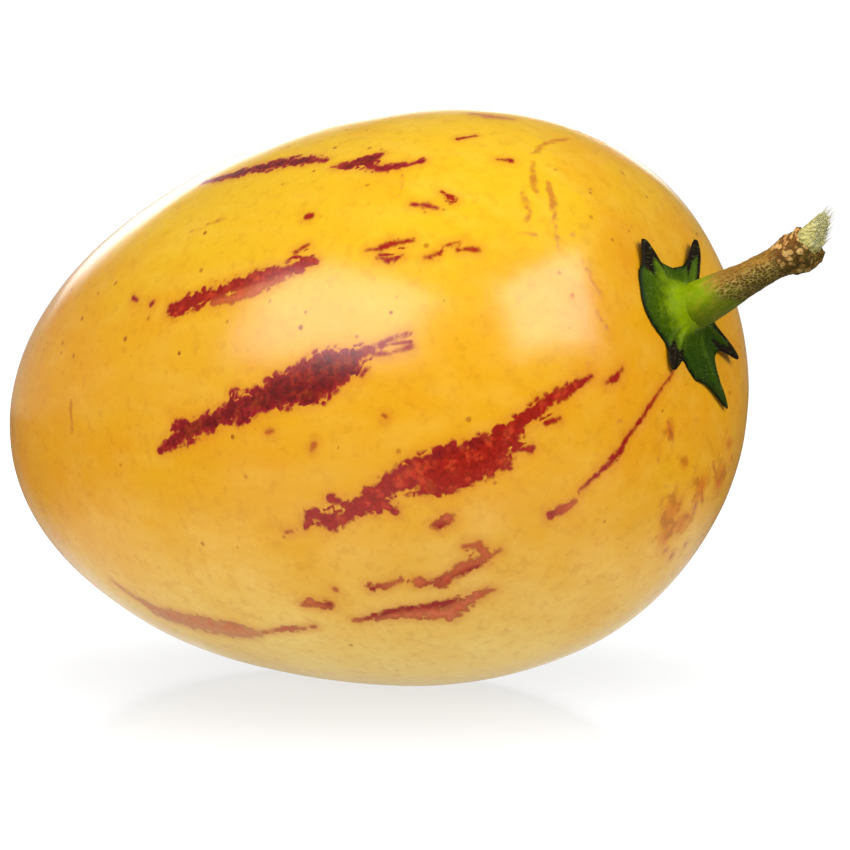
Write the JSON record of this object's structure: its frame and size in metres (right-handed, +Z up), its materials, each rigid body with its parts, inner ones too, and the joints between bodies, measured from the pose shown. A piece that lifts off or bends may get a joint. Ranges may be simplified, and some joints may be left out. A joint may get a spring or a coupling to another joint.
{
  "type": "pepino melon",
  "caption": "Egg-shaped ripe pepino melon lying on its side: a smooth streaked golden fruit with a lobed green calyx and a short snapped stalk at its broad end",
  "frame": {"origin": "middle of the small flat spot on which the fruit rests", "axes": "+X along the fruit towards its stem end, +Z up, +Y to the left when looking along +X"},
  "size_m": [0.1272, 0.077, 0.0769],
  "materials": {
    "skin": "smooth, faintly waxy fruit skin, golden with broken maroon streaks",
    "leaf": "matt green sepals with dry dark tips",
    "bark": "green at the root, corky brown further out, with a pale torn end"
  },
  "bodies": {
    "root": {"fruit": "skin", "calyx": "leaf", "stalk": "bark"}
  },
  "joints": []
}
